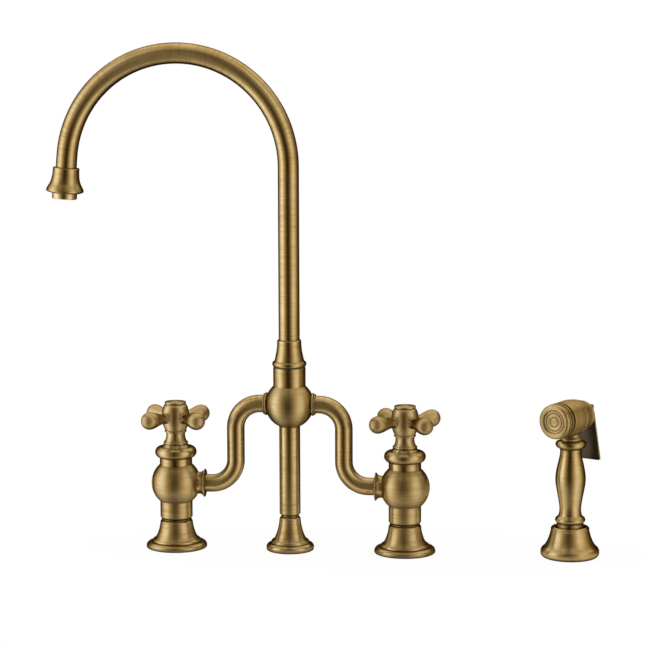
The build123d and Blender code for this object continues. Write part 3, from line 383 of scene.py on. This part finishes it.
def brass(
    name, brushing, gloss=0.365, aniso=0.86, grain=1.0, streaks=0.34, wear_and_highlight=0.6, seam_edge=0.92,
    tarnish=0.0, light=0.0, front=None, joints=(), ball=None,
):
    """Antique brass: brushed, with patina and painted shade in hollows, seams and below, and rubbed brass
    and a painted highlight on the edges.

    gloss is the middle roughness, and aniso how far it is stretched. grain scales specks and relief,
    streaks the dark brush marks, wear_and_highlight the share of rubbed brass and painted highlight on
    the edges, and seam_edge says how open a seam still takes painted shade. tarnish and light mix in
    patina and pale brass all over. front goes to front_faces, joints to painted_shade_in_joints, and
    ball is the centre and radius of a ball that is a little rougher than the rest.
    """
    material = bpy.data.materials.new(name)
    t = Tree(material)
    place = t.place()
    axis, along = brushing(t, place)
    to_world = {"p_vector_type": "VECTOR", "p_convert_from": "OBJECT", "p_convert_to": "WORLD"}
    tangent = t.add("VectorTransform", i0=axis, **to_world)

    round_place = t.scaled(place, ROUND_SCALE)
    lines = t.noise(round_place, 1.0, 3.0, t.math("MULTIPLY", along, LINE_SCALE), 0.66)
    fine = t.noise(round_place, 1.0, 1.0, t.math("MULTIPLY", along, FINE_LINE_SCALE), 0.5)
    brushed = t.math("ADD", t.math("MULTIPLY", lines, 0.6), t.math("MULTIPLY", fine, 0.4))
    clouds = t.noise(place, CLOUD_SCALE, 4.0, rough=0.6)
    specks = t.noise(place, SPECK_SCALE, 2.0, rough=0.7)

    colour = brass_colour(t, lines, brushed, clouds, specks, streaks, grain)
    # patina and painted shade in hollows and seams
    hollow_patina_and_shade = patina_and_painted_shade_in_hollows(t, seam_edge)
    # rubbed brass and a painted highlight on the edges
    worn_and_highlit = wear_and_painted_highlight_on_edges(t, clouds, wear_and_highlight)
    colour = t.mix(worn_and_highlit, colour, WORN_AND_HIGHLIGHT)
    colour = t.mix(hollow_patina_and_shade, colour, PATINA_AND_SHADE)
    # painted shade on undersides and at the deck
    colour = painted_shade_below(t, colour, place)
    if tarnish:
        colour = t.mix(tarnish, colour, PATINA_AND_SHADE)
    if light:
        colour = t.mix(light, colour, WORN_AND_HIGHLIGHT)
    # front faces: a darker colour as painted shade, on the barrel partly its own tone
    if front:
        colour = front_faces(t, colour, *front)
    # painted shade in the joints
    colour = painted_shade_in_joints(t, colour, along, joints)

    rough = t.remap(brushed, 0.3, 0.7, gloss + GLOSS_SWING, gloss - GLOSS_SWING)
    rough = t.math("ADD", rough, t.math("MULTIPLY", hollow_patina_and_shade, 0.2))
    rough = t.math("SUBTRACT", rough, t.math("MULTIPLY", worn_and_highlit, 0.08))
    if ball:
        centre, radius = ball
        from_centre = t.vec("LENGTH", t.vec("SUBTRACT", place, centre), out=1)
        ball_edge = (radius + BALL_EDGE[0], radius + BALL_EDGE[1])
        rough = t.math("ADD", rough, t.remap(from_centre, *ball_edge, 0.10, 0.0, True))

    sockets = {
        "Base Color": colour,
        "Metallic": 1.0,
        "Roughness": rough,
        "Normal": t.add("Bump", Strength=0.4 * grain, Distance=GRAIN_DEPTH, Height=brushed),
        "Tangent": tangent,
        "Anisotropic": aniso,
        "Specular Tint": MIRROR_TINT,
        "Coat Weight": 0.06,
        "Coat Roughness": 0.24,
    }
    t.surface(t.add("BsdfPrincipled", **sockets))
    return material


# ------------------------------------------------------------------ other materials
PORE_DEPTH = 0.00005
PORE_SWING = 0.07  # how far pores move the roughness, up and down


def plain(name, colour, shade, metallic, rough, scale, relief):
    """A finish with fine mottling of its colour, gloss and relief."""
    material = bpy.data.materials.new(name)
    t = Tree(material)
    place = t.place()
    mottle = t.noise(place, scale, 4.0, rough=0.65)
    pores = t.noise(place, scale * 7.0, 2.0)
    sockets = {
        "Base Color": t.mix(t.remap(mottle, 0.3, 0.7, 0.0, 1.0), colour, shade),
        "Metallic": metallic,
        "Roughness": t.remap(pores, 0.3, 0.7, rough - PORE_SWING, rough + PORE_SWING),
        "Normal": t.add("Bump", Strength=relief, Distance=PORE_DEPTH, Height=pores),
    }
    t.surface(t.add("BsdfPrincipled", **sockets))
    return material


# ------------------------------------------------------------------ which piece wears what
BODY = {"aniso": 0.88}
HUB = {"gloss": 0.45, "aniso": 0.70, "light": 0.50}
STAR = {"gloss": 0.42, "aniso": 0.85, "grain": 0.6, "tarnish": 0.08}
BARREL = {"gloss": 0.38, "grain": 0.25, "streaks": 0.18, "wear_and_highlight": 0.3, "seam_edge": 0.68, "light": 0.22}
# the barrel's front faces: umber, partly own tone and partly painted shade, with painted shade in the holes
BARREL_FRONT = (0.30, UMBER, HOLE_RINGS)
# the lever's inner face: painted shade
LEVER_FRONT = (0.93, LEVER_INNER_SHADE)

FINISH = {
    "centre": brass("brass_centre_column", upright(0.0), **BODY, ball=((0.0, 0.0, BALL_Z), BALL_R)),
    "both_valves": brass("brass_both_valves", twin, gloss=0.40, aniso=0.80),
    "spout_tube": brass("brass_spout_tube", arch),
    "spout_bell": brass("brass_spout_bell", bell),
    "arms": brass("brass_bridge_arms", bridge_arm, gloss=0.36, aniso=0.84),
    "spray": brass("brass_spray_handle", upright(SPRAY_X)),
    "barrel": brass("brass_spray_barrel", barrel, **BARREL, front=BARREL_FRONT, joints=BARREL_JOINTS),
    "lever": brass("brass_lever", barrel, gloss=0.42, front=LEVER_FRONT),
    "nipples": brass("brass_dark", twin, tarnish=0.55),
    "machined": plain("machined_brass", (0.66, 0.50, 0.26), (0.50, 0.36, 0.16), 1.0, 0.28, 160.0, 0.15),
    "rubber": plain("black_rubber", (0.020, 0.020, 0.021), (0.034, 0.033, 0.032), 0.0, 0.62, 220.0, 0.5),
    "ceramic": plain("ceramic", (0.86, 0.85, 0.82), (0.80, 0.79, 0.75), 0.0, 0.18, 180.0, 0.05),
    "liner": plain("liner_plastic", (0.075, 0.068, 0.060), (0.055, 0.050, 0.045), 0.0, 0.45, 150.0, 0.2),
    "steel": plain("spring_steel", (0.60, 0.59, 0.57), (0.44, 0.43, 0.42), 1.0, 0.30, 200.0, 0.15),
}

WEARS = {
    "centre": ["spout_collar", "centre_body", "centre_post", "centre_foot"],
    "both_valves": ["valve_feet", "bonnet_rings", "bonnet_cones"],
    "spout_tube": ["spout_tube"],
    "spout_bell": ["spout_bell"],
    "arms": ["bridge_arm_left", "bridge_arm_right", "centre_port_rings"],
    "spray": ["spray_handle", "spray_holder"],
    "barrel": ["spray_head", "spray_nose", "spray_face", "spray_back_cap"],
    "lever": ["spray_lever"],
    "nipples": ["centre_foot_nipple", "valve_foot_nipples"],
    "machined": [
        "cartridge_bodies", "diverter_cage", "diverter_piston", "hot_spindle", "cold_spindle",
        "hose_connector", "spray_plunger", "spout_shank", "aerator_housing",
    ],
    "rubber": [
        "cartridge_seals", "centre_foot_gasket", "holder_gasket", "valve_foot_gaskets", "aerator_seal",
        "shank_orings", "nose_oring", "valve_seal",
    ],
    "ceramic": ["fixed_discs", "hot_turning_disc", "cold_turning_disc"],
    "liner": ["holder_bush", "glide_ring"],
    "steel": [
        "diverter_spring", "plunger_spring", "hot_handle_screw", "cold_handle_screw", "lever_pin",
        "spout_grub_screw", "aerator_screen",
    ],
}

for side, valve_x in (("hot", -VALVE_X), ("cold", VALVE_X)):
    valve_ball = ((valve_x, 0.0, OUTLET_Z), VALVE_BALL_R)
    FINISH[side + "_body"] = brass(f"brass_{side}_body", valve(valve_x), **BODY, ball=valve_ball)
    FINISH[side + "_hub"] = brass(f"brass_{side}_valve", upright(valve_x), **HUB)
    FINISH[side + "_star"] = brass(f"brass_{side}_arms", star(valve_x), **STAR)
    WEARS[side + "_body"] = [side + "_valve_body"]
    WEARS[side + "_hub"] = [side + "_handle_hub", side + "_handle_cap"]
    WEARS[side + "_star"] = [side + "_handle_arms"]


def dress(thing, finish):
    """Gives a piece its finish in every slot, without changing its mesh."""
    for slot in thing.material_slots:
        slot.link = "OBJECT"
        slot.material = FINISH[finish]


for finish, names in WEARS.items():
    for name in names:
        dress(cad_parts[name], finish)


# ------------------------------------------------------------------ springs
def shortening(name, node, body):
    """A spring's own mesh again, on data of its own and hung on its body."""
    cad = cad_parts[node]
    coil = bpy.data.objects.new(name, cad.data.copy())
    bpy.context.scene.collection.objects.link(coil)
    coil.matrix_world = cad.matrix_world.copy()
    dress(coil, "steel")
    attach(coil, body)
    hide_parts(node)
    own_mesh(coil)


bpy.context.view_layer.update()
shortening(
    "diverter_coil", "diverter_spring", "body",
)
shortening(
    "plunger_coil", "plunger_spring", "handset",
)

# ------------------------------------------------------------------ camera, found from the photograph
CAMERA_AT = Vector((0.31409, -2.25691, 0.53379))
CAMERA_YAW = 0.1255
CAMERA_PITCH = 0.14442
CAMERA_ROLL = -0.00332
FOCAL_PX = 2638.6
IMAGE_PX = 645.0
SENSOR_MM = 36.0

lens = bpy.data.cameras.new("camera")
lens.sensor_width = SENSOR_MM
lens.lens = SENSOR_MM * FOCAL_PX / IMAGE_PX
camera = bpy.data.objects.new("camera", lens)
bpy.context.scene.collection.objects.link(camera)
turned = Matrix.Rotation(CAMERA_YAW, 4, "Z") @ Matrix.Rotation(math.pi / 2 - CAMERA_PITCH, 4, "X")
camera.matrix_world = Matrix.Translation(CAMERA_AT) @ turned @ Matrix.Rotation(CAMERA_ROLL, 4, "Z")
bpy.context.scene.camera = camera

# ------------------------------------------------------------------ studio
WHITE = (1.0, 1.0, 1.0, 1.0)


def around(parts):
    """Angles in even steps round a circle."""
    return [2 * math.pi * part / parts for part in range(parts)]


def stage_mesh(name, material_name, points, faces):
    """A mesh of the studio with a material of its own: the object and the material's tree."""
    mesh = bpy.data.meshes.new(name)
    mesh.from_pydata(points, [], faces)
    thing = bpy.data.objects.new(name, mesh)
    bpy.context.scene.collection.objects.link(thing)
    material = bpy.data.materials.new(material_name)
    mesh.materials.append(material)
    return thing, Tree(material)


def background(t):
    """One where the eye, or a mirror or glass, looks at the background."""
    path = t.node("LightPath")
    seen = t.math("MAXIMUM", path.outputs["Is Camera Ray"], path.outputs["Is Glossy Ray"])
    return t.math("MAXIMUM", seen, path.outputs["Is Transmission Ray"])


# ------------------------------------------------------------------ floor
FLOOR_AT = (0.07, 0.01)
FLOOR_HALF = (0.30, 0.10)
FLOOR_PARTS = 96
FLOOR_COLOUR = (0.92, 0.92, 0.92, 1.0)
SHADOW_FADE = (0.65, 0.98)  # shares of the way to the rim between which shadows fade out
WHITE_SHARE = 0.96  # of the floor in the middle, which leaves its shadows faint


def lay_floor():
    """A white ellipse under the object, which takes its faint shadows."""
    (at_x, at_y), (half_x, half_y) = FLOOR_AT, FLOOR_HALF
    rim = [
        (at_x + half_x * math.cos(turn), at_y + half_y * math.sin(turn), 0)
        for turn in around(FLOOR_PARTS)
    ]
    _, t = stage_mesh("floor", "floor_white", rim, [tuple(range(FLOOR_PARTS))])
    from_middle = t.vec("SUBTRACT", t.place(), FLOOR_AT + (0.0,))
    to_rim = t.vec("LENGTH", t.vec("DIVIDE", from_middle, FLOOR_HALF + (1.0,)), out=1)
    share = t.math("MULTIPLY", background(t), t.remap(to_rim, *SHADOW_FADE, WHITE_SHARE, 1.0, True))
    lit = t.add("BsdfDiffuse", Color=FLOOR_COLOUR)
    white = t.add("Emission", Color=WHITE, Strength=1.0)
    t.surface(t.add("MixShader", i0=share, i1=lit, i2=white))


lay_floor()

# ------------------------------------------------------------------ soft boxes and dark cards
WALL_R = 2.35
WALL_LOW = -6.0
WALL_HIGH = 11.0
WALL_PARTS = 96
# brightness by degrees from the camera's side: strip lights left and right, dark cards between
LEVELS = [
    (-180, 0.10), (-164, 0.08), (-134, 0.06), (-118, 0.45), (-104, 1.0), (-88, 1.65), (-74, 1.85),
    (-60, 1.7), (-46, 1.0), (-34, 0.55), (-20, 0.20), (-10, 0.02), (4, 0.01), (14, 0.10), (26, 0.40),
    (40, 0.92), (55, 1.40), (68, 1.4), (84, 1.0), (100, 0.5), (120, 0.14), (160, 0.06), (180, 0.10),
]
TOP_LEVEL = max(level for _, level in LEVELS)
# At the front a dark strip parts the side lights from the overhead one, and a white card stands
# behind. Heights over which each takes over from what is below it:
STRIP_FROM = (1.15, 1.25)
OVERHEAD_FROM = (2.2, 2.3)
BACK_FROM = (1.3, 1.6)
STRIP_SIDES = (30, 60)  # degrees over which the strip fades out to the sides
STRIP_SHARE = 0.9
OVERHEAD = (0.75, 0.69, 0.53)
OVERHEAD_GAP = (8, 38)  # degrees over which a dark gap in the overhead light fades out
BACK_LEVEL = 1.4
FRONT_SIDES = (100, 125)  # degrees over which the front gives way to the back
CARD_DARK = (0.02, 0.015, 0.01)  # as a share of the wall's strength


def card_colour(level):
    """Strip lights are cool white and the cards warm brown."""
    share = level / TOP_LEVEL
    return (level, level * (0.70 + 0.42 * share), level * (0.10 + 1.30 * share))


PEAK = max(card_colour(TOP_LEVEL))


def dimmed(colour):
    """A colour of light as a share of the wall's strength, which is its brightest part."""
    return tuple(part / PEAK for part in colour)


def build_wall():
    """Soft boxes and dark cards as one round wall, which the camera doesn't see."""
    rings = [
        (WALL_R * math.sin(turn), -WALL_R * math.cos(turn), height)
        for height in (WALL_LOW, WALL_HIGH)
        for turn in around(WALL_PARTS)
    ]
    faces = []
    for part in range(WALL_PARTS):
        after = (part + 1) % WALL_PARTS
        faces.append((part, after, after + WALL_PARTS, part + WALL_PARTS))
    wall, t = stage_mesh("studio_wall", "studio_wall", rings, faces)
    wall.visible_camera = False

    x, y, z = t.split(t.place())
    angle = t.math("ARCTAN2", x, t.math("MULTIPLY", y, -1.0))
    off_camera = t.math("ABSOLUTE", angle)

    def within(inner, outer):
        """One up to the inner angle off the camera's side and none past the outer, in degrees."""
        return t.remap(off_camera, math.radians(inner), math.radians(outer), 1.0, 0.0, True)

    stops = [((degrees + 180) / 360, dimmed(card_colour(level))) for degrees, level in LEVELS]
    cards = t.ramp(t.remap(angle, -math.pi, math.pi, 0.0, 1.0), stops)
    in_strip = t.math("MULTIPLY", within(*STRIP_SIDES), t.remap(z, *STRIP_FROM, 0.0, STRIP_SHARE))
    low_light = t.mix(in_strip, cards, CARD_DARK)

    front = within(*FRONT_SIDES)
    overhead = t.mix(within(*OVERHEAD_GAP), dimmed(OVERHEAD), CARD_DARK)
    high_light = t.mix(front, dimmed((BACK_LEVEL,) * 3), overhead)
    high_at_back = t.remap(z, *BACK_FROM, 0.0, 1.0)
    high_in_front = t.remap(z, *OVERHEAD_FROM, 0.0, 1.0)
    high = t.add("Mix", i0=front, i2=high_at_back, i3=high_in_front)
    t.surface(t.add("Emission", Color=t.mix(high, low_light, high_light), Strength=PEAK))


build_wall()

# ------------------------------------------------------------------ world and overhead light
WORLD_LIGHT = 0.9
BOX_SIZE = (1.2, 0.9)
BOX_AT = (0.1, -0.5, 1.7)
BOX_TILT = math.radians(18)
BOX_WATTS = 1.2


def white_world():
    """White where it is seen, and a little less as light."""
    world = bpy.data.worlds.new("world")
    bpy.context.scene.world = world
    t = Tree(world)
    seen = t.add("Background", Color=WHITE, Strength=1.0)
    light = t.add("Background", Color=WHITE, Strength=WORLD_LIGHT)
    shown = t.add("MixShader", i0=background(t), i1=light, i2=seen)
    t.feed(t.node("OutputWorld").inputs[0], shown)


def hang_box():
    """A soft box above, which draws the faint shadows on the floor."""
    box = bpy.data.lights.new("top_box", "AREA")
    box.shape = "RECTANGLE"
    box.size, box.size_y = BOX_SIZE
    box.energy = BOX_WATTS
    hung = bpy.data.objects.new("top_box", box)
    hung.location = BOX_AT
    hung.rotation_euler = (BOX_TILT, 0.0, 0.0)
    bpy.context.scene.collection.objects.link(hung)


white_world()
hang_box()

bpy.context.scene.view_settings.view_transform = "Standard"
